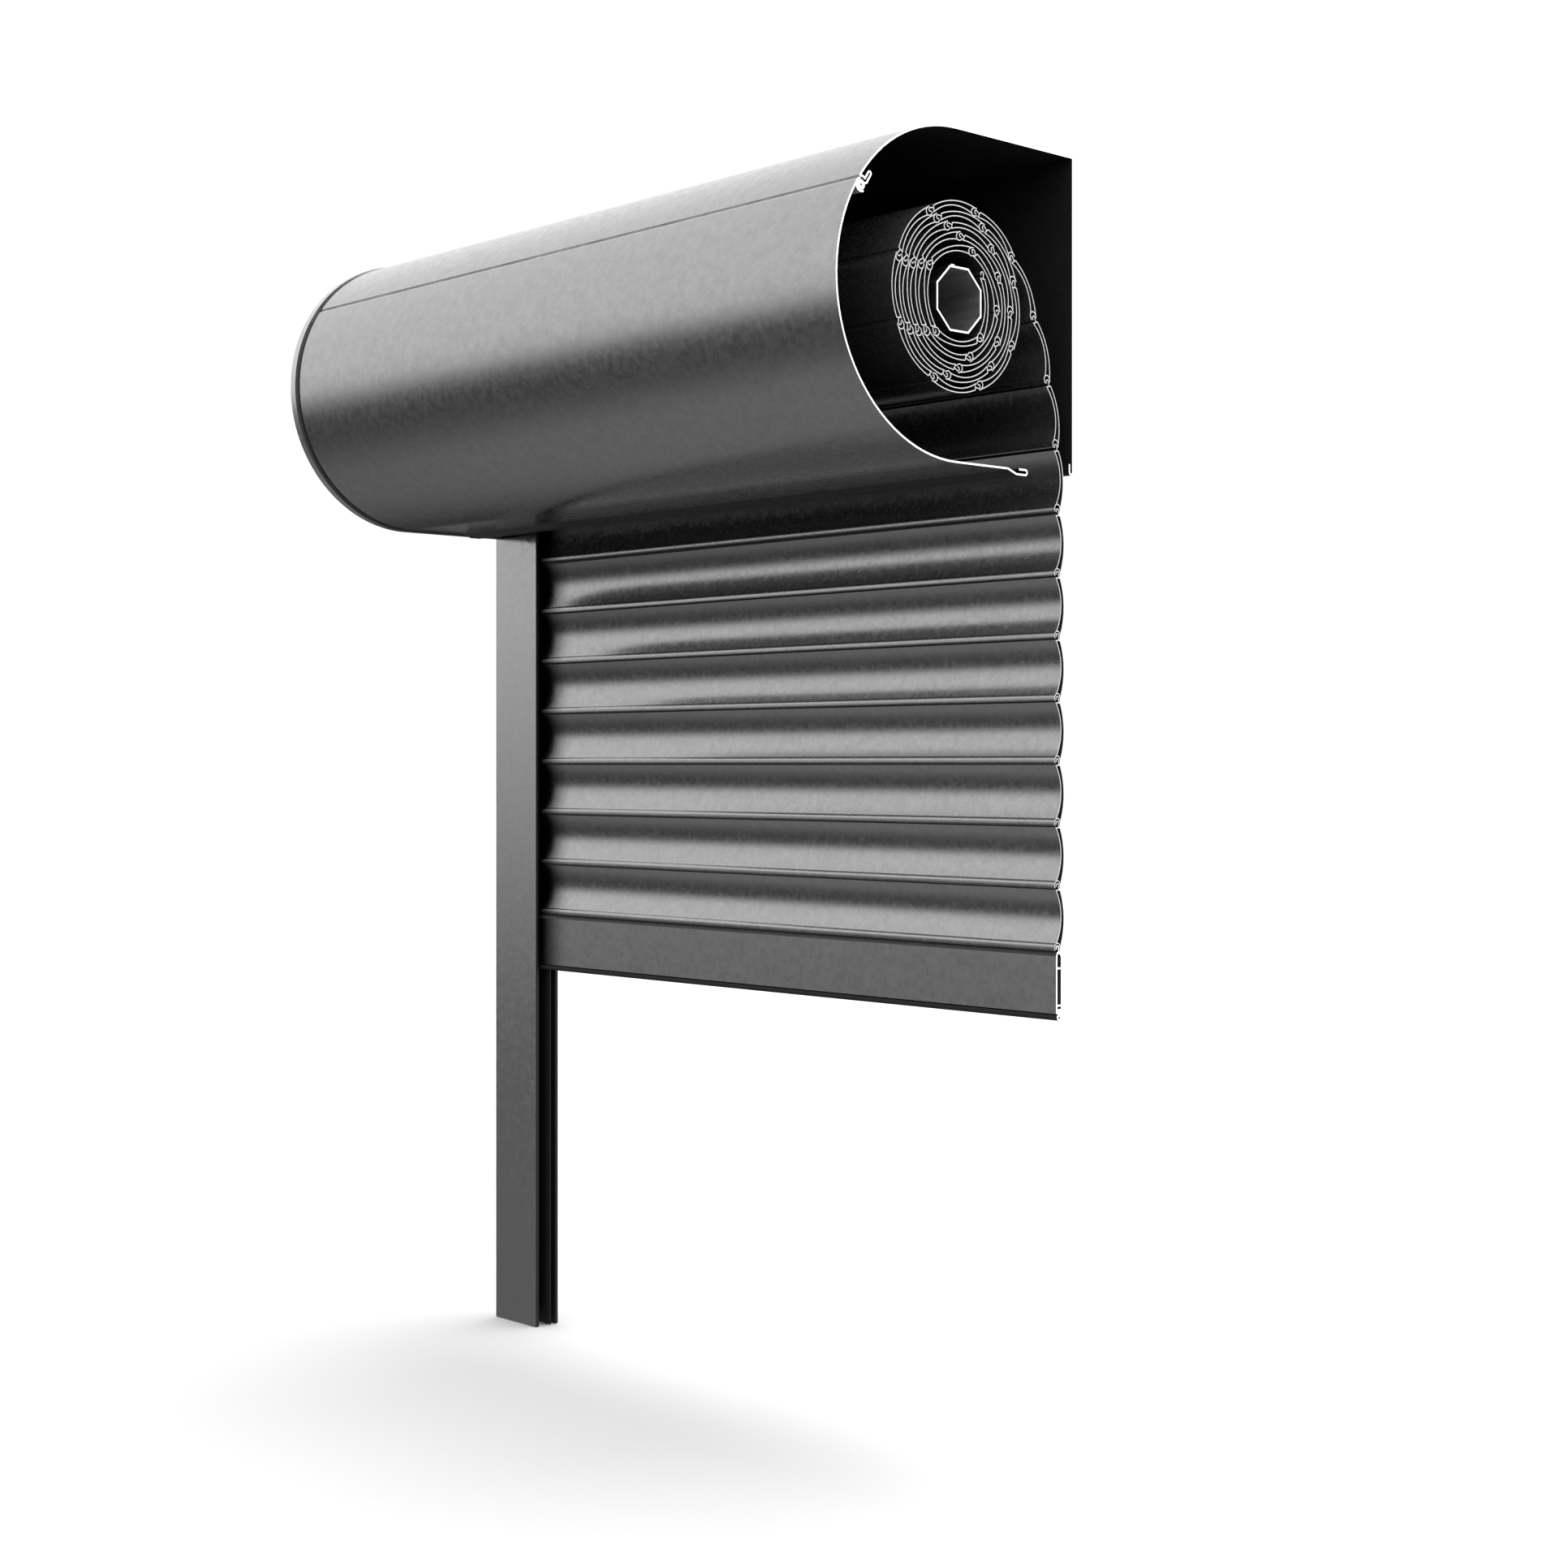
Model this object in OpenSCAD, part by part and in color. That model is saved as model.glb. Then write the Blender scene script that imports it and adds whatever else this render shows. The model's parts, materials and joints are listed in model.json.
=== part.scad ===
// Exterior roller shutter, front-mounted, built as the cut-away sample of its left end.
// The wall plane is Y = 0 and the front is -Y. X = 0 is mid-width and Z = 0 is the roller axis.
// The right-hand end, at +total_w / 2, is the cut through box, roller and curtain.

/* [Box] */
// Overall width from the end cap to the cut
total_w = 592; // [420:1:900]
// Outer height of the box
box_h = 205; // [190:1:240]
// Outer depth of the box from the wall to the front of the round
box_d = 212; // [200:1:250]
// Thickness of the two roll-formed box sheets
sheet = 1.2; // [0.8:0.1:2]
// Angle above the horizontal at which the cover hangs on the upper sheet
seam_angle = 33.5; // [25:0.5:45]
// Radius of the rolled bead that carries the cover
bead_pin_r = 3; // [2.4:0.1:3.6]
// Distance from the wall to the start of the step in the cover's floor
floor_step_y = 62.6; // [58:0.2:70]
// Distance from the wall to the cover's hemmed edge
throat_y = 44; // [36:0.5:50]

/* [End cap] */
// Thickness of the painted rim
rim_t = 6.3; // [5:0.1:9]
// Overhang of the rim past the box sheets
rim_over = 1; // [0.4:0.1:2]
// Width of the shadow groove between rim and sheets
groove_w = 5; // [2:0.5:8]
// Depth to which the core reaches inside the box
core_depth = 17; // [12:0.5:19]
// Wall thickness of the core
core_wall = 2.5; // [2:0.1:4]

/* [Roller] */
// Distance from the wall to the roller axis
axis_y = 107; // [104:0.5:112]
// Depth of the roller axis below the middle of the box
axis_drop = 2.5; // [0:0.5:6]
// Roller tube across its flats
tube_af = 40; // [36:0.5:44]
// Wall of the roller tube
tube_wall = 1.2; // [0.6:0.1:1.4]

/* [Motor] */
// Diameter of the tubular motor
motor_d = 34; // [28:0.5:34.5]
// Length of the motor behind its head
motor_len = 420; // [300:5:440]
// Diameter of the motor head
head_d = 44; // [38:1:46]
// Length of the motor head
head_len = 20; // [16:0.5:24]
// Diameter of the motor's output shaft
shaft_d = 10; // [8:0.5:12]

/* [Slats] */
// Distance from hook to hook where the curtain is pulled open
slat_pitch = 40.9; // [40:0.1:41.4]
// Wall thickness of a slat
slat_wall = 0.65; // [0.5:0.05:0.7]
// Radius of the hook along a slat's upper edge
hook_r = 1.5; // [1.4:0.05:1.6]
// Radial play of a hook in the pocket above it
hook_play = 0.6; // [0.5:0.05:0.65]
// Extra height of the pocket, which closes the light slots
slot_rise = 1.2; // [0.8:0.1:1.4]
// Amount by which hanging slats close up, less than the pocket allows
slot_close = 1.2; // [0.4:0.1:1.4]
// Depth of the hollow on the front of a slat
front_hollow = 3.2; // [2.8:0.1:3.3]
// Bulge of the back of a slat past the hook line
back_bulge = 6.6; // [6:0.1:6.7]
// Distance from the wall to the hook line of the hanging slats
curtain_y = 15.6; // [15:0.1:17]
// Number of slats wound on the roller
wound_slats = 32; // [31:1:32]

/* [Winding] */
// Radius of the last wound hook about the roller axis
wound_r = 58.4; // [58.2:0.1:59.4]
// Angle above the horizontal at which the curtain leaves the pack
leave_angle = 33.5; // [28:0.5:40]
// Clearance between neighbouring turns
turn_gap = 0.35; // [0.3:0.05:0.45]
// Growth of that clearance with each turn further in
inner_spread = 0.1; // [0.05:0.01:0.13]

/* [Bottom slat] */
// Height of the bottom slat below its hook
bar_h = 42; // [38:0.2:52]
// Thickness of the bottom slat
bar_t = 6; // [5.6:0.1:7]
// Radius of the rubber bulb
bulb_r = 2.2; // [1.8:0.1:2.6]

/* [Guide rail] */
// Width of the rail's front face
rail_w = 54; // [48:0.5:66]
// Depth of the rail from the wall
rail_d = 21.8; // [21.4:0.1:24]
// Length of the rail below the box
rail_len = 630; // [420:5:900]
// Thickness of the rail's walls
rail_wall = 2; // [1.6:0.1:2.4]
// Depth to which the slats reach into the rail
slat_reach = 24; // [18:0.5:25]

/* [Fixings] */
// Diameter of the wall screw holes in the box's back
wall_hole_d = 6.5; // [5:0.5:8]
// Spacing of the wall screw holes
wall_hole_pitch = 400; // [200:5:420]
// Width of a hanger strap
strap_w = 25; // [18:1:30]
// Thickness of a hanger strap
strap_t = 0.6; // [0.6:0.1:1]

/* [Hidden] */
$fn = 64;
eps = 0.01;
// Overlap of joined shapes and overshoot of cuts
lap = 1;
far = 400;
x_cut = total_w / 2;
x_end = -total_w / 2;

// Box
box_r = box_h / 2;
box_cy = box_r - box_d;
box_cz = axis_drop;
box_top = box_cz + box_r;
box_floor = box_cz - box_r;
x_sheet = x_end + rim_t + groove_w;
x_core = x_end + rim_t;
x_core_in = x_sheet + core_depth;
hinge_gap = 0.3;
cup_r = bead_pin_r + hinge_gap + sheet;
flange_r = cup_r + hinge_gap;
seam_dir = 180 - seam_angle;
pin_y = box_cy + (box_r - cup_r) * cos(seam_dir);
pin_z = box_cz + (box_r - cup_r) * sin(seam_dir);
cup_from = 50;
cup_to = 155;
flange_from = 130;
flange_to = 45;
seam_lift = asin((flange_r + sheet / 2) * sin(flange_to) / box_r);
bead_wall = bead_pin_r - 0.8;
// Loop of the upper sheet beside the bead: radius, side step and height of its centre
tail_r = 1.8;
tail_side = 1.6;
tail_up = 10.2;
bead_room = norm([tail_side, tail_up]) + tail_r;
hem_r = 2.2;
hem_back = 6;
floor_drop = 2.9;
floor_slope = 8;
hook_gap = 2;
hook_up = 5;
wall_hole_drop = 22;
wall_hole_z = box_top - wall_hole_drop;
wall_hole_edge = 60;
wall_hole_x = min(wall_hole_pitch / 2, x_cut - wall_hole_edge);
foot_lift = 1;
back_foot = box_floor + foot_lift + sheet + hook_gap / 2;

// End cap
plate_t = 3;
core_gap = 0.4;
rim_wall = 3;
leg_gap = 0.4;
leg_len = 45;
leg_wall = 2.5;
leg_root = 14;
rivet_r = 1.6;
rivet_off_wall = 30;
rivet_off_round = 20;
rivet_ys = [-rivet_off_wall, box_cy + rivet_off_round];
rivet_head_t = 1;
cap_screw_off_wall = 40;
cap_screw_ys = [-cap_screw_off_wall, box_cy - box_r * 0.44];
cap_screw_zs = [box_cz - box_r * 0.56, box_cz + box_r * 0.56];
throat_clear = 3;
throat_rise = 6;
foot_clear = 1;

// Motor and roller drive
fit_gap = 0.05;
bracket_t = 3;
bracket_w = 58;
x_bracket = x_core;
x_head = x_bracket + bracket_t;
x_motor = x_head + head_len;
drive_room = 60;
x_motor_end = x_motor + min(motor_len, x_cut - x_motor - drive_room);
tube_gap = 5;
x_tube = x_motor + tube_gap;
crown_len = 16;
wheel_len = 20;
wheel_gap = 4;
x_wheel = x_motor_end + wheel_gap;
shaft_in = 24;
shaft_over = 4;
clip_t = 1.2;
clip_rim = 3;
clip_r = shaft_d / 2 + clip_rim;
tube_in_af = tube_af - 2 * tube_wall;
oct = 8;
oct_turn = 22.5;
seam_bead_w = 3;
seam_bead_y = -tube_af * 0.18;
seam_bead_t = 0.8;
screw_r = 2;
screw_head_r = 3.6;
screw_head_t = 2;
screw_clear = 0.1;
bracket_pitch = 44;
tube_screw_in = 8;
gland_r = 5;
gland_neck_r = 3.5;
gland_in = 5;
gland_flange = 2.5;
hanger_turn = 48.18;
strap_tail = -1.4;
strap_screw_y = tube_af * 0.09;
strap_grip = tube_wall + (tube_in_af - motor_d) / 4;
strap_head_r = 3;
strap_off_end = 82;
strap_off_cut = 50;
strap_first = x_tube + strap_off_end;
strap_last = x_cut - strap_off_cut - strap_w;

// Slat
pocket_r = hook_r + hook_play;
pocket_out = pocket_r + slat_wall;
seat_gap = 0.1;
seat = hook_play - seat_gap;
pocket_z = -slat_pitch + seat;
pocket_lap = 0.5;
slat_top = -pocket_out - seat + pocket_lap;
slat_top_front = -1.8;
slat_top_back = 2.8;
slat_mid = slat_pitch * 0.46;
neck_in = 0.1;
neck_y = hook_r - slat_wall - neck_in;
neck_end = 0.2;
neck_step = 0.9;
hook_foot = 0.4;
mouth_from = 203;
mouth_to = 325;
curl_from = 225;
x_slat = x_end + rail_w - slat_reach;
slat_len = x_cut - x_slat;

// Path of the curtain from the pack to the guide
hang_slats = 7;
line_y = -curtain_y;
lean_shape = [31, 18.6, 11.4, 2.3];
turn_step = 2 * pocket_out + turn_gap;
// Where the first free hook rests in the last wound pocket, from its seat
rest_slack = [-0.43, 0.88];
last_lean = lean_of(axis_point(wound_hook(0)) - axis_point(wound_hook(1)));
leave = axis_point(wound_hook(0)) + turned(rest_slack, last_lean);
lean_scale = solve_lean(1, 8);

// Bottom slat
bar_wall = 1.2;
bar_y = -1.3;
bar_roof = 2.6;
roof_front = 1;
roof_back = 2;
roof_in = 0.6;
bar_top = slat_top;
cell_top = 10;
cell_gap = 2.5;
track_h = 3.6;
track_lip = 1;
track_slot = 2.4;
seal_gap = 0.15;

// Guide rail
rail_top = box_floor - rim_over;
end_play = 3;
rail_web_x = rail_w - slat_reach - end_play;
slat_clear = 0.6;
seal_clear = 0.4;
back_seal_t = 0.8;
seal_seat = 1;
front_lip = 1.2;
channel_front = curtain_y + pocket_out + slat_clear;
channel_back = curtain_y - back_bulge - back_seal_t - seal_clear;
rail_depth = max(rail_d, channel_front + seal_seat + front_lip);
fin_t = 0.8;
back_t = 2.4;
edge_r = 1;
seal_w = 5;
seal_edge = 1;
seal_t = 1.2;
guide_h = 22;
guide_wall = 2;
guide_flare = 5;
guide_front = -channel_front - slat_clear;
guide_back = -channel_back;

// Path of the curtain

function lean_sum(f) = sin(f * lean_shape[0]) + sin(f * lean_shape[1])
    + sin(f * lean_shape[2]) + sin(f * lean_shape[3]);

function solve_lean(f, n) = n == 0 ? f
    : solve_lean(f * (line_y - leave[0]) / (slat_pitch * lean_sum(f)), n - 1);

function lean(k) = lean_scale * lean_shape[k];

// Hook position above transfer slat k, counted from the pack
function path_hook(k) = k == 0 ? leave
    : path_hook(k - 1) + slat_pitch * [sin(lean(k - 1)), -cos(lean(k - 1))];

// Hook position above hanging slat k
function hang_hook(k) = path_hook(4) - [0, (k - 1) * (slat_pitch - slot_close)];

// Angle swept by one slat inwards along the spiral, from radius r
function swept(r, step, a, n) = n == 0 ? a
    : swept(r, step, chord_angle(r, r - step * a / 360), n - 1);

function chord_angle(r, q) = acos((r * r + q * q - slat_pitch * slat_pitch) / (2 * r * q));

// Polar position of wound hook i, counted inwards from the leaving hook
function wound_hook(i) = i == 0 ? [wound_r, leave_angle] : inward(wound_hook(i - 1));

function inward(h) = step_in(h, step_at(h), swept(h[0], step_at(h), chord_angle(h[0], h[0]), 6));

function step_in(h, step, a) = [h[0] - step * a / 360, h[1] + a];

// Radial step of one turn at wound hook h
function step_at(h) = turn_step + inner_spread * (h[1] - leave_angle) / 360;

function axis_point(h) = [-axis_y + h[0] * cos(h[1]), h[0] * sin(h[1])];

function lean_of(d) = atan2(d[0], -d[1]);

function turned(v, a) = [v[0] * cos(a) - v[1] * sin(a), v[0] * sin(a) + v[1] * cos(a)];

// Centre of the circle through three points
function centre3(a, b, c) = centre_from(b - a, c - a) + a;

function centre_from(u, v) = [
    v[1] * (u * u) - u[1] * (v * v),
    u[0] * (v * v) - v[0] * (u * u)
] / (2 * (u[0] * v[1] - u[1] * v[0]));

// Helpers

module along(x0, x1) {
    translate([x0, 0, 0]) rotate([90, 0, 90]) linear_extrude(x1 - x0) children();
}

module rod(r, x0, x1) {
    translate([x0, 0, 0]) rotate([0, 90, 0]) cylinder(r = r, h = x1 - x0);
}

module octagon_bar(af, x0, x1) {
    along(x0, x1) rotate(hanger_dir() - 90 + oct_turn) circle(r = af / 2 / cos(oct_turn), $fn = oct);
}

module sector(a0, a1) {
    step = (a1 - a0) / 4;
    polygon(concat([[0, 0]], [for (i = [0:4]) far * [cos(a0 + i * step), sin(a0 + i * step)]]));
}

module ring(r, w) {
    difference() {
        circle(r = r);
        circle(r = r - w);
    }
}

module at_axis() {
    translate([0, -axis_y, 0]) children();
}

// Box sheets

module box_outline(inset) {
    translate([box_cy, box_cz]) intersection() {
        circle(r = box_r - inset, $fn = 128);
        translate([-far, -far]) square([far - box_cy / 2, 2 * far]);
    }
    translate([box_cy, box_floor + inset]) square([-box_cy - inset, box_h - 2 * inset]);
}

module box_shell() {
    difference() {
        box_outline(0);
        box_outline(sheet);
    }
}

module upper_section() {
    intersection() {
        box_shell();
        union() {
            translate([box_cy, box_cz]) sector(0, seam_dir - seam_lift);
            translate([-2 * sheet, back_foot + hook_up / 2]) square([far, box_cz - back_foot]);
        }
    }
    translate([pin_y, pin_z]) {
        ring(bead_pin_r, bead_wall);
        intersection() {
            flange_loop();
            sector(seam_dir - flange_from, seam_dir - flange_to);
        }
        rotate(seam_dir - flange_from) translate([bead_pin_r - bead_wall / 2, -sheet / 4])
            square([flange_r - bead_pin_r + sheet, sheet]);
    }
    translate([-sheet - hook_gap / 2, back_foot]) bent_edge(hook_gap / 2 + sheet, hook_up);
}

// Round of the sheet about the bead, with a stiffening loop drawn out of it
module flange_loop() {
    difference() {
        union() {
            circle(r = flange_r + sheet);
            tail_outline(tail_r);
        }
        circle(r = flange_r);
        tail_outline(tail_r - sheet);
    }
}

module tail_outline(r) {
    rotate(seam_dir - 180) translate([tail_side, tail_up]) rotate(180) bend_outline(r, tail_up);
}

// Sheet edge bent back on itself, of outer radius r, with legs upwards
module bent_edge(r, leg) {
    difference() {
        bend_outline(r, leg);
        bend_outline(r - sheet, leg + lap);
    }
}

module bend_outline(r, leg) {
    circle(r = r);
    translate([-r, 0]) square([2 * r, leg]);
}

module upper_sheet() {
    color("DimGray") difference() {
        along(x_sheet, x_cut) upper_section();
        for (s = [-1, 1])
            translate([s * wall_hole_x, lap, wall_hole_z])
                rotate([90, 0, 0]) cylinder(d = wall_hole_d, h = lap + 2 * sheet);
        rivet_spots() cylinder(r = rivet_r + screw_clear, h = 4 * sheet, center = true);
    }
}

module cover_section() {
    hem_y = -throat_y - hem_r;
    low = box_floor - floor_drop;
    difference() {
        union() {
            intersection() {
                box_shell();
                union() {
                    translate([box_cy, box_cz]) sector(seam_dir, 270);
                    translate([box_cy - eps, box_floor - lap])
                        square([-box_cy - floor_step_y, lap + 2 * sheet]);
                }
            }
            translate([pin_y, pin_z]) intersection() {
                ring(cup_r, sheet);
                sector(seam_dir - cup_from, seam_dir + cup_to);
            }
        }
        translate([pin_y, pin_z]) circle(r = bead_pin_r + hinge_gap);
    }
    polygon([
        [-floor_step_y, box_floor], [-floor_step_y + floor_slope, low],
        [hem_y - hem_back / 2, low], [hem_y - hem_back / 2, low + sheet],
        [-floor_step_y + floor_slope + sheet / 4, low + sheet],
        [-floor_step_y + sheet / 4, box_floor + sheet],
        [-floor_step_y - lap, box_floor + sheet], [-floor_step_y - lap, box_floor]
    ]);
    translate([hem_y, low + hem_r]) rotate(90) bent_edge(hem_r, hem_back);
}

module front_cover() {
    color("DarkGray") along(x_sheet, x_cut) cover_section();
}

// End cap

module end_cap() {
    color("DarkGray") difference() {
        along(x_end, x_core) box_outline(-rim_over);
        along(x_end + plate_t, x_core + lap) box_outline(rim_wall);
        cap_screw_spots() rod(screw_r, x_end + plate_t / 2, x_core);
        translate([x_end - lap, 0, -far / 2]) cube([rim_t + 2 * lap, 2 * rim_over, far]);
    }
}

module core_outline(inset) {
    difference() {
        box_outline(sheet + core_gap + inset);
        translate([pin_y, pin_z]) circle(r = bead_room + core_gap + inset);
    }
}

module core_frame() {
    difference() {
        core_outline(0);
        core_outline(core_wall);
        translate([-floor_step_y - throat_clear, -far]) square([far, far + box_floor + throat_rise]);
        translate([-2 * sheet - hook_gap - foot_clear, -far])
            square([far, far + back_foot + hook_up + foot_clear]);
    }
}

module end_cap_core() {
    leg_x = x_end + rail_web_x - rail_wall - leg_gap;
    leg_y = -rail_depth + rail_wall + leg_gap;
    leg_d = -leg_y - 2 * sheet - hook_gap - leg_gap;
    color("Black") difference() {
        union() {
            along(x_end + plate_t, x_core) box_outline(rim_wall + core_gap);
            along(x_core, x_core_in) core_frame();
            along(x_core - lap, x_core + lap) intersection() {
                core_frame();
                box_outline(rim_wall + core_gap);
            }
            translate([x_core, leg_y, rail_top - leg_len])
                cube([leg_x - x_core, leg_d, leg_len + leg_root]);
            translate([x_core - lap, leg_y, box_floor + leg_root / 2]) cube([leg_wall, leg_d, leg_root / 2]);
        }
        translate([x_core - lap, leg_y + leg_wall, rail_top - leg_len - lap])
            cube([leg_x - x_core + lap - leg_wall, leg_d - 2 * leg_wall, leg_len + lap]);
        rivet_spots() cylinder(r = rivet_r + screw_clear, h = 4 * core_wall, center = true);
        cap_screw_spots() rod(screw_r + screw_clear, x_end, x_core + lap);
    }
}

// Rivets through the top of the upper sheet into the core
module rivet_spots() {
    for (y = rivet_ys) translate([x_sheet + core_depth / 2, y, box_top - sheet]) children();
}

module sheet_rivets() {
    color("Gainsboro") rivet_spots() {
        translate([0, 0, -core_wall - core_gap])
            cylinder(r = rivet_r, h = core_wall + core_gap + sheet + eps);
        translate([0, 0, sheet]) cylinder(r = 2 * rivet_r, h = rivet_head_t);
    }
}

// Screws that hold the core in the cap
module cap_screw_spots() {
    for (y = cap_screw_ys, z = cap_screw_zs) translate([0, y, z]) children();
}

module cap_screws() {
    color("Gainsboro") cap_screw_spots() {
        rod(screw_r, x_end + plate_t / 2, x_core + eps);
        rod(screw_head_r, x_core, x_core + screw_head_t);
    }
}

// Motor and its bracket

module motor_bracket() {
    color("Silver") difference() {
        translate([x_bracket, -axis_y - bracket_w / 2, -bracket_w / 2])
            cube([bracket_t, bracket_w, bracket_w]);
        bracket_spots() rod(screw_r + screw_clear, x_bracket - lap, x_head + lap);
    }
}

module bracket_spots() {
    for (i = [-1, 1], j = [-1, 1])
        translate([0, -axis_y + i * bracket_pitch / 2, j * bracket_pitch / 2]) children();
}

module bracket_screws() {
    color("Gainsboro") bracket_spots() {
        rod(screw_r, x_bracket, x_head + eps);
        rod(screw_head_r, x_head, x_head + screw_head_t);
    }
}

module motor_head() {
    color("Black") at_axis() difference() {
        rod(head_d / 2, x_head, x_motor);
        translate([x_head + head_len / 2, 0, -head_d / 2 - lap])
            cylinder(r = gland_neck_r, h = gland_in + lap);
    }
}

module cable_gland() {
    color("DimGray") at_axis() translate([x_head + head_len / 2, 0, -head_d / 2]) difference() {
        union() {
            translate([0, 0, -lap]) cylinder(r = gland_neck_r, h = lap + gland_in);
            translate([0, 0, -lap - gland_flange]) cylinder(r = gland_r, h = gland_flange);
        }
        translate([0, 0, -2 * lap - gland_flange])
            cylinder(r = gland_neck_r / 2, h = gland_in + lap + gland_flange);
    }
}

module motor_tube() {
    color("Silver") at_axis() difference() {
        rod(motor_d / 2, x_motor, x_motor_end);
        rod(shaft_d / 2 + fit_gap, x_motor_end - shaft_in, x_motor_end + lap);
    }
}

// Roller

module roller_tube() {
    color("LightGray") at_axis() difference() {
        union() {
            octagon_bar(tube_af, x_tube, x_cut);
            rotate([hanger_dir() - 90, 0, 0]) translate([x_tube, seam_bead_y, tube_af / 2 - eps])
                cube([x_cut - x_tube, seam_bead_w, seam_bead_t]);
        }
        octagon_bar(tube_in_af, x_tube - lap, x_cut + lap);
        tube_screw_spots() cylinder(r = screw_r + screw_clear, h = tube_af);
        strap_screw_spots() cylinder(r = screw_r, h = tube_af / 2);
    }
}

module motor_crown() {
    color("Black") at_axis() difference() {
        octagon_bar(tube_in_af, x_tube, x_tube + crown_len);
        rod(motor_d / 2 + fit_gap, x_tube - lap, x_tube + crown_len + lap);
    }
}

module drive_wheel() {
    color("Black") at_axis() difference() {
        octagon_bar(tube_in_af, x_wheel, x_wheel + wheel_len);
        rod(shaft_d / 2, x_wheel - lap, x_wheel + wheel_len + lap);
        tube_screw_spots() cylinder(r = screw_r, h = tube_af);
    }
}

module drive_shaft() {
    color("Gainsboro") at_axis()
        rod(shaft_d / 2, x_motor_end - shaft_in + lap, x_wheel + wheel_len + shaft_over);
}

module shaft_clip() {
    color("Silver") at_axis() difference() {
        rod(clip_r, x_wheel + wheel_len, x_wheel + wheel_len + clip_t);
        rod(shaft_d / 2, x_wheel, x_wheel + wheel_len + 2 * clip_t);
    }
}

// Screws from the tube's lower flat into the drive wheel
module tube_screw_spots() {
    for (s = [-1, 1])
        rotate([hanger_dir() + 90, 0, 0])
            translate([x_wheel + wheel_len * (2 + s) / 4, 0, tube_af / 2 - tube_screw_in]) children();
}

module tube_screws() {
    color("Gainsboro") at_axis() tube_screw_spots() {
        cylinder(r = screw_r, h = tube_screw_in + eps);
        translate([0, 0, tube_screw_in]) cylinder(r = screw_head_r, h = screw_head_t / 2);
    }
}

// Straps from the tube to the innermost slat

// Direction of the tube flat on which the straps lie
function hanger_dir() = wound_hook(wound_slats)[1] + hanger_turn;

module strap_spots() {
    for (x = [strap_first, (strap_first + strap_last) / 2, strap_last]) translate([x, 0, 0]) children();
}

module strap_screw_spots() {
    strap_spots() rotate([hanger_dir() - 90, 0, 0])
        translate([strap_w / 2, strap_screw_y, tube_af / 2 - strap_grip]) children();
}

module strap_section() {
    hook = wound_hook(wound_slats);
    hook_u = hook[0] * sin(hanger_turn);
    hook_lean = lean_of(axis_point(wound_hook(wound_slats - 1)) - axis_point(hook));
    difference() {
        union() {
            rotate(hook[1]) translate([hook[0], 0]) circle(r = pocket_r + strap_t);
            rotate(hanger_dir() - 90) translate([strap_tail, tube_af / 2])
                square([hook_u - strap_tail, strap_t]);
        }
        rotate(hook[1]) translate([hook[0], 0]) circle(r = pocket_r);
        rotate(hook[1]) translate([hook[0], 0]) rotate(hook_lean - hook[1]) sector(mouth_from, mouth_to);
    }
}

module hanger_straps() {
    color("Silver") at_axis() difference() {
        strap_spots() along(0, strap_w) strap_section();
        strap_screw_spots() cylinder(r = screw_r + screw_clear, h = tube_af / 2);
    }
}

module hanger_screws() {
    color("Gainsboro") at_axis() strap_screw_spots() {
        cylinder(r = screw_r, h = strap_grip + strap_t + eps);
        translate([0, 0, strap_grip + strap_t]) cylinder(r = strap_head_r, h = screw_head_t / 2);
    }
}

// Slats

// Long hole in which the hook above the next slat sits
module pocket(r) {
    circle(r = r);
    translate([0, slot_rise]) circle(r = r);
    translate([-r, 0]) square([2 * r, slot_rise]);
}

front_c = centre3([slat_top_front, slat_top], [front_hollow, -slat_mid], [-pocket_out, pocket_z + slot_rise]);
front_r = norm(front_c - [front_hollow, -slat_mid]);
back_c = centre3([slat_top_back, slat_top], [back_bulge, -slat_pitch / 2], [pocket_out, pocket_z]);
back_r = norm(back_c - [back_bulge, -slat_pitch / 2]);

module slat_body(inset) {
    difference() {
        intersection() {
            translate(back_c) circle(r = back_r - inset, $fn = 128);
            translate([-pocket_out, pocket_z]) square([far, slat_top - inset - pocket_z]);
        }
        translate(front_c) circle(r = front_r + inset, $fn = 128);
    }
}

module slat_hook() {
    difference() {
        ring(hook_r, slat_wall);
        sector(curl_from, 360);
    }
    translate([neck_y, slat_top - slat_wall / 2]) square([slat_wall, -slat_top + slat_wall / 2 - neck_end]);
    translate([hook_r - slat_wall, -hook_foot]) square([slat_wall, hook_foot + eps]);
    translate([neck_y, -neck_step]) square([hook_r - neck_y, slat_wall]);
}

module slat_section() {
    difference() {
        union() {
            slat_body(0);
            translate([0, pocket_z]) pocket(pocket_out);
        }
        difference() {
            slat_body(slat_wall);
            translate([0, pocket_z]) pocket(pocket_out);
        }
        translate([0, pocket_z]) pocket(pocket_r);
        translate([0, pocket_z]) sector(mouth_from, mouth_to);
    }
    slat_hook();
}

module slat_at(p, a) {
    translate([0, p[0], p[1]]) rotate([a, 0, 0]) along(x_slat, x_cut) slat_section();
}

// Wound slat i hangs from wound hook i + 1 and reaches out to wound hook i
module wound_slat(i) {
    outer = axis_point(wound_hook(i));
    inner = axis_point(wound_hook(i + 1));
    slat_at(inner, lean_of(outer - inner));
}

function turn_of(i) = min(4, floor((wound_hook(i)[1] - leave_angle) / 360));

module wound_turn(t) {
    color("Gray") for (i = [0:wound_slats - 1]) if (turn_of(i) == t) wound_slat(i);
}

module wound_turn_1() {
    wound_turn(0);
}

module wound_turn_2() {
    wound_turn(1);
}

module wound_turn_3() {
    wound_turn(2);
}

module wound_turn_4() {
    wound_turn(3);
}

module wound_turn_5() {
    wound_turn(4);
}

module transfer_slat(k) {
    color("Gray") slat_at(path_hook(k), lean(k));
}

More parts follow.
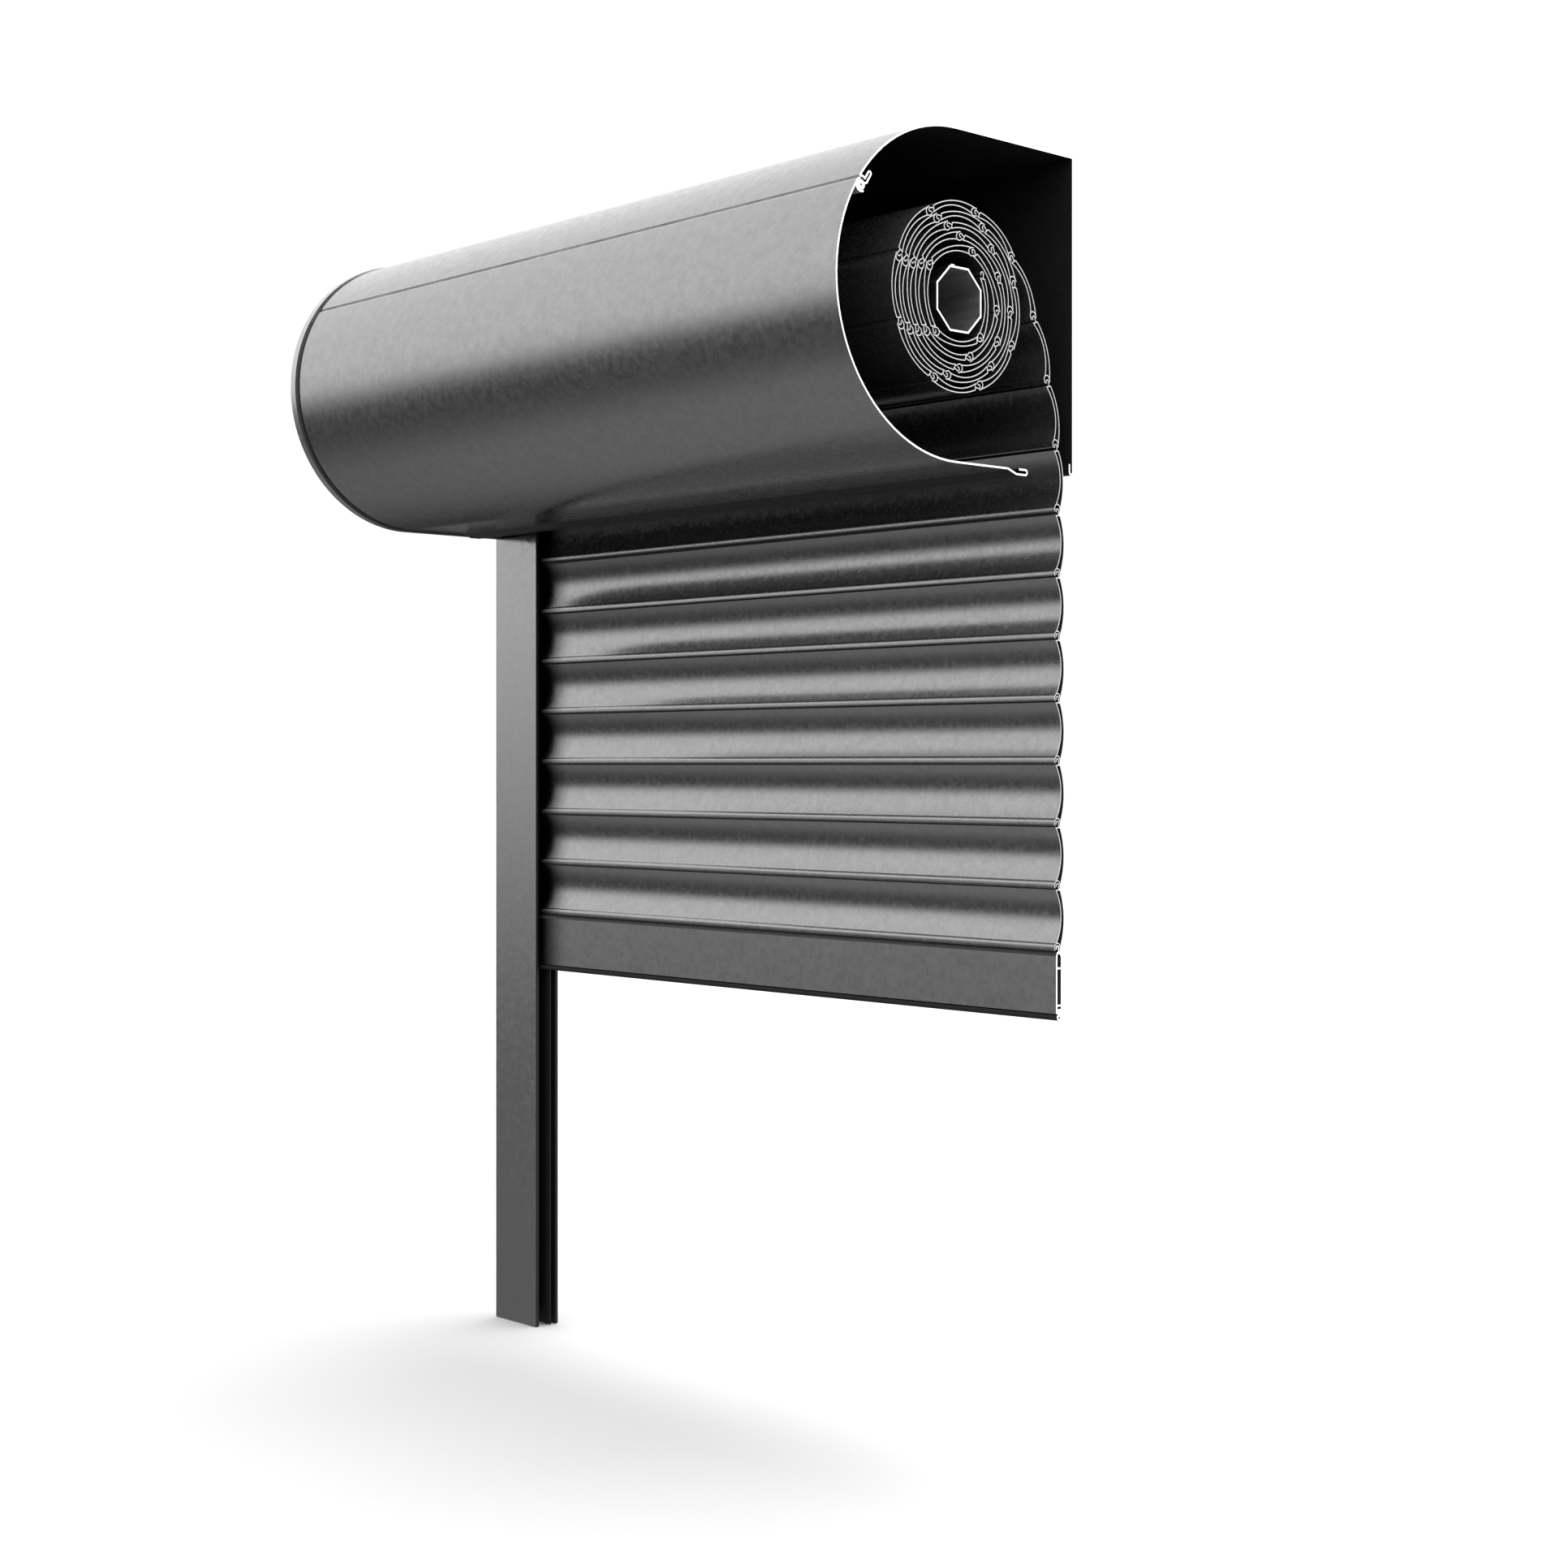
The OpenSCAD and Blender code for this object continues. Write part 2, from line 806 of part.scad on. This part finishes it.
module hanging_slat(k) {
    color("Gray") slat_at(hang_hook(k), 0);
}

// Bottom slat

module bar_section() {
    bottom = -bar_h;
    difference() {
        polygon([
            [bar_y, bottom], [bar_y, bar_top - bar_roof], [neck_y - roof_front, bar_top],
            [neck_y + roof_back, bar_top], [bar_y + bar_t, bar_top - bar_roof], [bar_y + bar_t, bottom]
        ]);
        polygon([
            [bar_y + bar_wall, bar_top - bar_roof - bar_wall / 2],
            [neck_y - roof_front + roof_in, bar_top - bar_wall],
            [neck_y + roof_back - roof_in, bar_top - bar_wall],
            [bar_y + bar_t - bar_wall, bar_top - bar_roof - bar_wall / 2],
            [bar_y + bar_t - bar_wall, -cell_top - cell_gap], [bar_y + bar_wall, -cell_top - cell_gap]
        ]);
        translate([bar_y + bar_wall, bottom + track_lip + track_h + bar_wall])
            square([bar_t - 2 * bar_wall, bar_h - cell_top - cell_gap - 2 * bar_wall - track_lip - track_h]);
        translate([bar_y + bar_wall, bottom + track_lip]) square([bar_t - 2 * bar_wall, track_h]);
        translate([bar_y + bar_t / 2 - track_slot / 2, bottom - lap])
            square([track_slot, track_lip + 2 * lap]);
    }
}

module bottom_slat() {
    p = hang_hook(hang_slats + 1);
    color("DimGray") translate([0, p[0], p[1]]) {
        along(x_slat, x_cut) bar_section();
        along(x_slat, x_cut) slat_hook();
    }
}

module seal_section() {
    head_w = bar_t - 2 * bar_wall - 2 * seal_gap;
    neck_w = track_slot - 2 * seal_gap;
    mid = bar_y + bar_t / 2;
    translate([mid - head_w / 2, -bar_h + track_lip + seal_gap]) square([head_w, track_h / 2]);
    translate([mid - neck_w / 2, -bar_h - bulb_r]) square([neck_w, bulb_r + track_lip + lap]);
    translate([mid, -bar_h - bulb_r - seal_gap]) difference() {
        circle(r = bulb_r);
        circle(r = bulb_r - bar_wall);
    }
}

module bottom_seal() {
    p = hang_hook(hang_slats + 1);
    color("Black") translate([0, p[0], p[1]]) along(x_slat, x_cut) seal_section();
}

// Guide rail, drawn with its outer end at x = 0 and the wall at y = 0

module rail_section() {
    web = rail_web_x;
    difference() {
        rounded_front();
        translate([rail_wall, -rail_depth + rail_wall])
            square([web - 2 * rail_wall, rail_depth - rail_wall - back_t]);
        translate([web, -channel_front]) square([rail_w, channel_front - channel_back]);
        translate([web, -channel_back + fin_t]) square([rail_w, channel_back - fin_t - back_t]);
        translate([rail_w - seal_w - seal_edge, -channel_front - seal_seat])
            square([seal_w, seal_seat + lap]);
    }
}

module rounded_front() {
    translate([0, -rail_depth + edge_r]) square([rail_w, rail_depth - edge_r]);
    translate([edge_r, -rail_depth]) square([rail_w - 2 * edge_r, edge_r + lap]);
    for (x = [edge_r, rail_w - edge_r]) translate([x, -rail_depth + edge_r]) circle(r = edge_r);
}

module rail_run(z0, z1) {
    translate([x_end, 0, z0]) linear_extrude(z1 - z0) children();
}

module guide_rail() {
    color("Gray") rail_run(rail_top - rail_len, rail_top) rail_section();
}

module rail_front_seal() {
    color("Black") rail_run(rail_top - rail_len, rail_top)
        translate([rail_w - seal_w - seal_edge + seal_gap, -channel_front - seal_seat])
            square([seal_w - 2 * seal_gap, seal_t]);
}

module rail_back_seal() {
    color("Black") rail_run(rail_top - rail_len, rail_top)
        translate([rail_w - seal_w - seal_edge, -channel_back - back_seal_t]) square([seal_w, back_seal_t]);
}

// Flared mouth on the rail, which leads the slats in
module inlet_guide() {
    x0 = x_end + rail_web_x;
    color("Black") {
        along(x0, x_end + rail_w) guide_section();
        along(x0, x0 + guide_wall) translate([guide_front - guide_wall, rail_top])
            square([guide_back - guide_front + 2 * guide_wall, guide_h / 3]);
    }
}

module guide_section() {
    low = rail_top + guide_h / 3;
    high = rail_top + guide_h;
    polygon([
        [guide_front, rail_top], [guide_front, low], [guide_front - guide_flare, high],
        [guide_front - guide_flare - guide_wall, high], [guide_front - guide_wall, low],
        [guide_front - guide_wall, rail_top]
    ]);
    translate([guide_back, rail_top]) square([guide_wall, guide_h / 2]);
}

upper_sheet();
front_cover();
end_cap();
end_cap_core();
cap_screws();
sheet_rivets();
motor_bracket();
bracket_screws();
motor_head();
motor_tube();
cable_gland();
guide_rail();
rail_front_seal();
rail_back_seal();
inlet_guide();
roller_tube();
motor_crown();
drive_wheel();
drive_shaft();
shaft_clip();
tube_screws();
hanger_straps();
hanger_screws();
wound_turn_1();
wound_turn_2();
wound_turn_3();
wound_turn_4();
wound_turn_5();
transfer_slat(0);  // transfer_slat_1
transfer_slat(1);  // transfer_slat_2
transfer_slat(2);  // transfer_slat_3
transfer_slat(3);  // transfer_slat_4
hanging_slat(1);  // slat_1
hanging_slat(2);  // slat_2
hanging_slat(3);  // slat_3
hanging_slat(4);  // slat_4
hanging_slat(5);  // slat_5
hanging_slat(6);  // slat_6
hanging_slat(7);  // slat_7
bottom_slat();
bottom_seal();
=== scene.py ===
"""Looks of the exterior roller shutter over its CAD frame. Metres; wall plane Y = 0, front towards -Y."""

import json
import math

import bpy
from mathutils import Matrix, Vector


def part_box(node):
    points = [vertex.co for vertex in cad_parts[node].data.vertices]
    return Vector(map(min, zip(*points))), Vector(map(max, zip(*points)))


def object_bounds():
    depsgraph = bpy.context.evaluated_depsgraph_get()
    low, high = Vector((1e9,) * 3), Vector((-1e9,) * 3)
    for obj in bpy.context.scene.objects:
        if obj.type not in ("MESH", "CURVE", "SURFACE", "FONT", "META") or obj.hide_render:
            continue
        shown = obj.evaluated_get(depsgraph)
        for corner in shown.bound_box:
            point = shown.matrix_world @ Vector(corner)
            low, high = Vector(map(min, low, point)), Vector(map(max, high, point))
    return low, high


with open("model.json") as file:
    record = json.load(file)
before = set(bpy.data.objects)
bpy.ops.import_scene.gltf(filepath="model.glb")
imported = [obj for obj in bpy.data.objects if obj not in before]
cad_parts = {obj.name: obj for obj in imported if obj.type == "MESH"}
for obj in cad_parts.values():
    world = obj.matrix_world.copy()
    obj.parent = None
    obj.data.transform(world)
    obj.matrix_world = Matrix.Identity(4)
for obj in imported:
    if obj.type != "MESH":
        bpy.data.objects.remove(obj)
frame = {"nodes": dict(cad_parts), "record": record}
cad_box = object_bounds()
nodes = frame["nodes"]
scene = bpy.context.scene


def joint_place(name):
    """The point that a joint of the record turns about."""
    return next(j["pos_m"] for j in frame["record"]["behaviour"]["joints"] if j["name"] == name)


# Cut end: its plane, how near to it a cut face lies, and the least X of that face's normal
CUT_X = cad_box[1][0]
CUT_ROOM = 1e-5
CUT_FACING = 0.9

# Box: thickness of its sheets, and its round front, worked out from the end cap with its proud rim
SHEET = 0.0012
RIM_OVER = 0.001
CAP_LOW, CAP_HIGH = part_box("end_cap")
BOX_R = (CAP_HIGH.z - CAP_LOW.z) / 2.0 - RIM_OVER
BOX_Y = CAP_LOW.y + RIM_OVER + BOX_R
BOX_Z = (CAP_LOW.z + CAP_HIGH.z) / 2.0

# How deep a face lies under the box's outline to count as inside, or as the edge of the seam
INNER_DEPTH = SHEET / 2.0
SEAM_DEPTH = SHEET / 4.0

# Seam: the bead that the cover hangs on, and the room that the bead and its cup take up
SEAM = joint_place("cover_swing")
SEAM_ROOM = 0.006

ROLLER_AXIS = joint_place("roller_spin")

# Slat: hook and pocket, drop from one to the other, rise of the slot, and drop from the hook to the body
HOOK_R = 0.0015
POCKET_R = 0.0021
POCKET_DROP = 0.0404
SLOT_RISE = 0.0012
SLAT_TOP = 0.00275

# Curtain: plane of its hooks, height of the bottom slat's sloping roof, and room for faces at a limit
LINE_Y = -0.0156
BAR_ROOF = 0.0026
TOUCH = 0.00005

# Guide rail: width up to its channel, skin at front and back, and the least X of a normal on its mouth
RAIL_LOW, RAIL_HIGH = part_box("guide_rail")
RAIL_WEB = 0.027
RAIL_SKIN = 0.0012
MOUTH_FACING = 0.5

# Painted shade on the curtain beside the guide rail: where it is darkest, where it ends, and how dark it
# gets
RAIL_SHADE_START = RAIL_HIGH.x + 0.003
RAIL_SHADE_END = RAIL_HIGH.x + 0.036
RAIL_SHADE_TONE = 0.03

# Where the darkest and the lightest tone lie in a noise: in general, in the paint's blotches, in its grain
EVEN_STOPS = (0.3, 0.7)
BLOTCH_STOPS = (0.36, 0.64)
GRAIN_STOPS = (0.40, 0.60)

# Paint: the grain's share of the spread, and the scales of wear and bump against blotch and grain
FINE_SHARE = 0.7
WEAR_SCALE = 1.4
BUMP_SCALE = 1.6

# Bump: its strength on paint and on plastic, and its depth
PAINT_BUMP = 0.05
PLASTIC_BUMP = 0.15
GRAIN_DEPTH = 0.0001

# Stretch of the noise that makes streaks along X in steel, and the lines of the saw
ALONG_STEEL = (0.15, 1.0, 1.0)
ALONG_TUBE = (0.1, 1.0, 1.0)
ALONG_SAW = (1.0, 1.0, 6.0)

BLACK = (0.0, 0.0, 0.0, 1.0)
WHITE = (1.0, 1.0, 1.0, 1.0)

# Material slots of a face; the cut end takes the last one
OUTER = 0
INNER = 1
EDGE = 2

# Stage: a floor just under the object, and a wall round it
FLOOR_HALF = 30.0
FLOOR_Z = cad_box[0][2] - 0.0005
WALL_R = 29.0
WALL_TOP = 40.0
WALL_SIDES = 64
WALL_GLOW = 1.05

# Studio light by height, from straight down at 0 to straight up at 1: in general, and behind the object
SKY = [(0.0, 0.24), (0.22, 0.26), (0.28, 0.13), (0.35, 0.05), (0.448, 0.05), (0.494, 0.42), (0.55, 0.91),
       (0.65, 0.97), (1.0, 0.9)]
BACKDROP = [(0.0, 0.22), (0.18, 0.22), (0.27, 0.08), (0.36, 0.02), (0.46, 0.02), (0.488, 1.0), (1.0, 1.0)]

# The part of the view's direction at which the backdrop starts and is full, and the studio's strength
BACKDROP_FADE = (0.35, 0.75)
STUDIO_STRENGTH = 1.45

# Sun for the floor's shadow: where its light goes, its strength and the angle it fills, in radians
SUN_TOWARDS = Vector((-0.06, -0.14, -1.0))
SUN_STRENGTH = 1.7
SUN_SPREAD = 0.6

# Camera, worked out from the photo's vanishing points
CAMERA_PLACE = (1.3147, -1.2009, -0.2843)
UP = Vector((0.0, 0.0, 1.0))
FORWARD = Vector((-0.7321, 0.6812, 0.0))
RIGHT = FORWARD.cross(UP)
SENSOR_MM = 36.0
LENS_MM = 56.09
SHIFT_Y = -0.0119
CLIP_END = 100.0


# Shader nodes


def new_material(name):
    mat = bpy.data.materials.new(name)
    mat.use_nodes = True
    tree = mat.node_tree
    return mat, tree, tree.nodes["Principled BSDF"]


def noise(tree, scale, detail=4.0, rough=0.55, stretch=None):
    """Noise in object coordinates, which are metres here."""
    place = tree.nodes.new("ShaderNodeTexCoord").outputs["Object"]
    if stretch:
        mapping = tree.nodes.new("ShaderNodeMapping")
        mapping.inputs["Scale"].default_value = stretch
        tree.links.new(place, mapping.inputs["Vector"])
        place = mapping.outputs["Vector"]
    tex = tree.nodes.new("ShaderNodeTexNoise")
    tex.inputs["Scale"].default_value = scale
    tex.inputs["Detail"].default_value = detail
    tex.inputs["Roughness"].default_value = rough
    tree.links.new(place, tex.inputs["Vector"])
    return tex.outputs["Fac"]


def ramp(tree, fac, stops):
    """Greys from a list of (place, value)."""
    node = tree.nodes.new("ShaderNodeValToRGB")
    elements = node.color_ramp.elements
    while len(elements) < len(stops):
        elements.new(0.5)
    for element, (place, value) in zip(elements, stops):
        element.position = place
        element.color = (value, value, value, 1.0)
    tree.links.new(fac, node.inputs["Fac"])
    return node.outputs["Color"]


def tone(tree, fac, low, high, places=EVEN_STOPS):
    """Greys from low to high between two places in the noise."""
    return ramp(tree, fac, list(zip(places, (low, high))))


def mixed(tree, fac, first, second, mode="MIX"):
    node = tree.nodes.new("ShaderNodeMixRGB")
    node.blend_type = mode
    if isinstance(fac, float):
        node.inputs["Fac"].default_value = fac
    else:
        tree.links.new(fac, node.inputs["Fac"])
    tree.links.new(first, node.inputs["Color1"])
    tree.links.new(second, node.inputs["Color2"])
    return node.outputs["Color"]


def along(tree, vector, axis):
    """The X, Y or Z of a vector."""
    node = tree.nodes.new("ShaderNodeSeparateXYZ")
    tree.links.new(vector, node.inputs["Vector"])
    return node.outputs[axis]


def share(tree, value, low, high, kind="LINEAR"):
    """How far a value has come from low to high, from 0 to 1."""
    node = tree.nodes.new("ShaderNodeMapRange")
    node.interpolation_type = kind
    node.inputs["From Min"].default_value = low
    node.inputs["From Max"].default_value = high
    tree.links.new(value, node.inputs["Value"])
    return node.outputs["Result"]


def bump(tree, shader, height, strength):
    node = tree.nodes.new("ShaderNodeBump")
    node.inputs["Strength"].default_value = strength
    node.inputs["Distance"].default_value = GRAIN_DEPTH
    tree.links.new(height, node.inputs["Height"])
    tree.links.new(node.outputs["Normal"], shader.inputs["Normal"])


# Materials


def painted_rail_shade(tree, colour):
    """Painted shade: darkens the colour towards the guide rail."""
    place = tree.nodes.new("ShaderNodeTexCoord").outputs["Object"]
    clear = share(tree, along(tree, place, "X"), RAIL_SHADE_START, RAIL_SHADE_END, "SMOOTHSTEP")
    shade = ramp(tree, clear, [(0.0, RAIL_SHADE_TONE), (1.0, 1.0)])
    return mixed(tree, 1.0, colour, shade, "MULTIPLY")


def speckled_paint(name, grey, spread, rough, metal, blotch=140.0, grain=900.0, with_rail_shade=False):
    """Powder coat: soft blotches a few millimetres wide and a finer grain over them."""
    mat, tree, shader = new_material(name)
    blotches = noise(tree, blotch, detail=5.0, rough=0.62)
    soft = tone(tree, blotches, grey - spread, grey + spread, BLOTCH_STOPS)
    specks = noise(tree, grain, detail=2.0, rough=0.5)
    fine = tone(tree, specks, grey - spread * FINE_SHARE, grey + spread * FINE_SHARE, GRAIN_STOPS)
    colour = mixed(tree, 0.5, soft, fine)
    # Painted shade towards the guide rail, when asked for
    if with_rail_shade:
        colour = painted_rail_shade(tree, colour)
    tree.links.new(colour, shader.inputs["Base Color"])
    wear = noise(tree, blotch * WEAR_SCALE, detail=3.0, rough=0.5)
    tree.links.new(tone(tree, wear, rough - 0.05, rough + 0.06), shader.inputs["Roughness"])
    bump(tree, shader, noise(tree, grain * BUMP_SCALE, detail=2.0, rough=0.5), PAINT_BUMP)
    shader.inputs["Metallic"].default_value = metal
    return mat


def plain_plastic(name, grey, rough, grain=1500.0):
    """Moulded plastic or rubber: an uneven tone and a fine grain."""
    mat, tree, shader = new_material(name)
    clouds = noise(tree, 60.0)
    tree.links.new(tone(tree, clouds, grey * 0.8, grey * 1.2), shader.inputs["Base Color"])
    shader.inputs["Roughness"].default_value = rough
    bump(tree, shader, noise(tree, grain), PLASTIC_BUMP)
    return mat


def zinc(name, grey, rough, stretch):
    """Galvanised or drawn steel: streaks along its length."""
    mat, tree, shader = new_material(name)
    streaks = noise(tree, 120.0, rough=0.6, stretch=stretch)
    tree.links.new(tone(tree, streaks, grey * 0.8, grey * 1.15), shader.inputs["Base Color"])
    shine = noise(tree, 300.0, detail=3.0, rough=0.5, stretch=stretch)
    tree.links.new(tone(tree, shine, rough - 0.06, rough + 0.08), shader.inputs["Roughness"])
    shader.inputs["Metallic"].default_value = 1.0
    return mat


def saw_cut(name, grey, glow):
    """Cut edge of the sectioned sample: pale, with a painted glow that keeps it bright."""
    mat, tree, shader = new_material(name)
    lines = noise(tree, 400.0, detail=2.0, rough=0.5, stretch=ALONG_SAW)
    tree.links.new(tone(tree, lines, grey * 0.95, grey * 1.05), shader.inputs["Base Color"])
    shader.inputs["Roughness"].default_value = 0.6
    shader.inputs["Emission Color"].default_value = WHITE
    shader.inputs["Emission Strength"].default_value = glow
    return mat


def studio_floor():
    """Pale and dull, with the faintest clouds."""
    mat, tree, shader = new_material("studio_floor")
    tree.links.new(tone(tree, noise(tree, 2.0), 0.64, 0.65), shader.inputs["Base Color"])
    shader.inputs["Roughness"].default_value = 0.9
    shader.inputs["Specular IOR Level"].default_value = 0.1
    return mat


def glowing_white(name):
    mat, tree, shader = new_material(name)
    shader.inputs["Base Color"].default_value = BLACK
    shader.inputs["Specular IOR Level"].default_value = 0.0
    shader.inputs["Emission Color"].default_value = WHITE
    shader.inputs["Emission Strength"].default_value = WALL_GLOW
    return mat


paint = speckled_paint("painted_box", grey=0.31, spread=0.035, rough=0.27, metal=0.9)
cap_paint = speckled_paint("painted_cap", grey=0.45, spread=0.04, rough=0.3, metal=0.8)
# Near-black painted shade, put on the inside of the box, the rail's mouth and channel, and the hooks and
# pockets of the slats and bottom bar
inside = speckled_paint("inside_painted_shade", grey=0.012, spread=0.003, rough=0.5, metal=0.0)
rail_paint = speckled_paint("painted_rail", grey=0.36, spread=0.02, rough=0.16, metal=0.72)
# Slats and bottom bar: painted shade darkens them towards the guide rail
slat_paint = speckled_paint("painted_slat", grey=0.31, spread=0.035, rough=0.25, metal=0.9, blotch=180.0,
                            with_rail_shade=True)
bar_paint = speckled_paint("painted_bar", grey=0.262, spread=0.02, rough=0.3, metal=0.75, with_rail_shade=True)
black = plain_plastic("black_plastic", grey=0.012, rough=0.55)
rubber = plain_plastic("black_rubber", grey=0.008, rough=0.75, grain=900.0)
# Painted light: a lighter grey on the faces in the seam's groove, which eases its shade
seam_painted_light = plain_plastic("seam_painted_light", grey=0.45, rough=0.6)
steel = zinc("zinc_steel", grey=0.55, rough=0.32, stretch=ALONG_STEEL)
tube_steel = zinc("tube_steel", grey=0.16, rough=0.4, stretch=ALONG_TUBE)
tube_inside = zinc("tube_inside", grey=0.5, rough=0.55, stretch=ALONG_TUBE)
# Cut faces: pale, with a painted glow that keeps them bright in any light
cut = saw_cut("saw_cut", grey=0.9, glow=0.75)
slat_cut = saw_cut("slat_cut", grey=0.6, glow=0.3)


# Slots of single faces, by their centre and normal


def box_face(centre, normal):
    """The inside of the box sheets, which takes painted shade, and the edge of the seam between them, which
    takes painted light.
    """
    depth = BOX_R - math.hypot(centre.y - BOX_Y, centre.z - BOX_Z)
    if math.hypot(centre.y - SEAM[1], centre.z - SEAM[2]) < SEAM_ROOM:
        return EDGE if depth > SEAM_DEPTH else OUTER
    if centre.y > BOX_Y:
        depth = min(-centre.y, abs(BOX_R - abs(centre.z - BOX_Z)))
    return INNER if depth > INNER_DEPTH else OUTER


def rail_face(centre, normal):
    """The mouth of the rail and the inside of its channel, which take painted shade."""
    within = RAIL_LOW.y + RAIL_SKIN < centre.y < RAIL_HIGH.y - RAIL_SKIN
    in_channel = within and centre.x > RAIL_LOW.x + RAIL_WEB
    return INNER if in_channel or normal.x > MOUTH_FACING else OUTER


def tube_face(centre, normal):
    """The inside of the roller tube."""
    outward = normal.y * (centre.y - ROLLER_AXIS[1]) + normal.z * (centre.z - ROLLER_AXIS[2])
    return INNER if outward < 0.0 else OUTER


def joint_face(name, roof=0.0):
    """For an upright slat: its hook and the inside of its pocket, which take painted shade."""
    hook_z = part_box(name)[1][2] - HOOK_R
    body_top = hook_z - SLAT_TOP - roof
    pocket_z = hook_z - POCKET_DROP

    def pick(centre, normal):
        level = min(max(centre.z, pocket_z), pocket_z + SLOT_RISE)
        in_pocket = math.hypot(centre.y - LINE_Y, centre.z - level) < POCKET_R + TOUCH
        return INNER if in_pocket or centre.z > body_top + TOUCH else OUTER

    return pick


def dress(name, *mats, pick=None):
    """Gives a CAD node its materials: the last one on the cut end, the others where pick puts them."""
    mesh = nodes[name].data
    mesh.materials.clear()
    for mat in mats:
        mesh.materials.append(mat)
    for face in mesh.polygons:
        if face.center.x > CUT_X - CUT_ROOM and face.normal.x > CUT_FACING:
            face.material_index = len(mats) - 1
        elif pick:
            face.material_index = pick(face.center, face.normal)
        else:
            face.material_index = OUTER


# Box, rail and roller tube

for name in ("upper_sheet", "front_cover"):
    dress(name, paint, inside, seam_painted_light, cut, pick=box_face)
dress("end_cap", cap_paint, cut)
dress("guide_rail", rail_paint, inside, cut, pick=rail_face)
dress("roller_tube", tube_steel, tube_inside, cut, pick=tube_face)

# Curtain: the last transfer slat stands as upright as the hanging ones

dress("bottom_slat", bar_paint, inside, cut, pick=joint_face("bottom_slat", BAR_ROOF))
for name in nodes:
    if name.startswith("slat_") or name == "transfer_slat_4":
        dress(name, slat_paint, inside, slat_cut, pick=joint_face(name))
    elif name.startswith(("transfer_slat_", "wound_turn_")):
        dress(name, slat_paint, slat_cut)

# Plastic, rubber and steel pieces

for name in ("end_cap_core", "motor_head", "motor_crown", "drive_wheel", "inlet_guide"):
    dress(name, black, cut)
for name in ("rail_front_seal", "rail_back_seal", "bottom_seal", "cable_gland"):
    dress(name, rubber, cut)
for name in ("motor_bracket", "bracket_screws", "cap_screws", "sheet_rivets", "motor_tube", "drive_shaft",
             "shaft_clip", "tube_screws", "hanger_straps", "hanger_screws"):
    dress(name, steel, cut)


# Stage


def stage_mesh(name, points, faces, mat):
    mesh = bpy.data.meshes.new(name)
    mesh.from_pydata(points, [], faces)
    mesh.materials.append(mat)
    obj = bpy.data.objects.new(name, mesh)
    scene.collection.objects.link(obj)
    return obj


def hide_from(obj, *rays):
    for ray in rays:
        setattr(obj, "visible_" + ray, False)


def round_wall(radius, foot, top, sides):
    """Points and faces of an upright ring."""
    turns = [2.0 * math.pi * i / sides for i in range(sides)]
    low = [(radius * math.cos(a), radius * math.sin(a), foot) for a in turns]
    high = [(x, y, top) for x, y, z in low]
    quads = [(i, (i + 1) % sides, sides + (i + 1) % sides, sides + i) for i in range(sides)]
    return low + high, quads


floor_corners = [(x * FLOOR_HALF, y * FLOOR_HALF, FLOOR_Z) for x, y in ((-1, -1), (1, -1), (1, 1), (-1, 1))]
floor = stage_mesh("floor", floor_corners, [(0, 1, 2, 3)], studio_floor())
hide_from(floor, "diffuse", "glossy")

# White wall round the floor that only the camera sees

wall_points, wall_quads = round_wall(WALL_R, FLOOR_Z, WALL_TOP, WALL_SIDES)
wall = stage_mesh("backdrop_wall", wall_points, wall_quads, glowing_white("backdrop_wall"))
hide_from(wall, "diffuse", "glossy", "transmission", "shadow")


# Light: a studio that is white behind the object, bright overhead and dark at the horizon in front

world = bpy.data.worlds.new("studio")
scene.world = world
world.use_nodes = True
studio = world.node_tree
direction = studio.nodes.new("ShaderNodeTexCoord").outputs["Generated"]
height = share(studio, along(studio, direction, "Z"), -1.0, 1.0)
facing = studio.nodes.new("ShaderNodeVectorMath")
facing.operation = "DOT_PRODUCT"
facing.inputs[1].default_value = FORWARD
studio.links.new(direction, facing.inputs[0])
behind = share(studio, facing.outputs["Value"], *BACKDROP_FADE)
glow = mixed(studio, behind, ramp(studio, height, SKY), ramp(studio, height, BACKDROP))
background = studio.nodes["Background"]
studio.links.new(glow, background.inputs["Color"])
background.inputs["Strength"].default_value = STUDIO_STRENGTH

# Soft sun for the shadow on the floor; reflections see only the studio

lamp = bpy.data.lights.new("overhead", "SUN")
lamp.energy = SUN_STRENGTH
lamp.angle = SUN_SPREAD
sun = bpy.data.objects.new("overhead", lamp)
sun.rotation_euler = SUN_TOWARDS.to_track_quat("-Z", "Y").to_euler()
scene.collection.objects.link(sun)
hide_from(sun, "glossy")


# Camera

camera_data = bpy.data.cameras.new("camera")
camera_data.sensor_fit = "HORIZONTAL"
camera_data.sensor_width = SENSOR_MM
camera_data.lens = LENS_MM
camera_data.shift_y = SHIFT_Y
camera_data.clip_end = CLIP_END
camera = bpy.data.objects.new("camera", camera_data)
turn = Matrix((RIGHT, UP, -FORWARD)).transposed().to_4x4()
camera.matrix_world = Matrix.Translation(CAMERA_PLACE) @ turn
scene.collection.objects.link(camera)
scene.camera = camera

view = scene.view_settings
view.view_transform = "Standard"
view.look = "None"
view.exposure = 0.0
view.gamma = 1.0
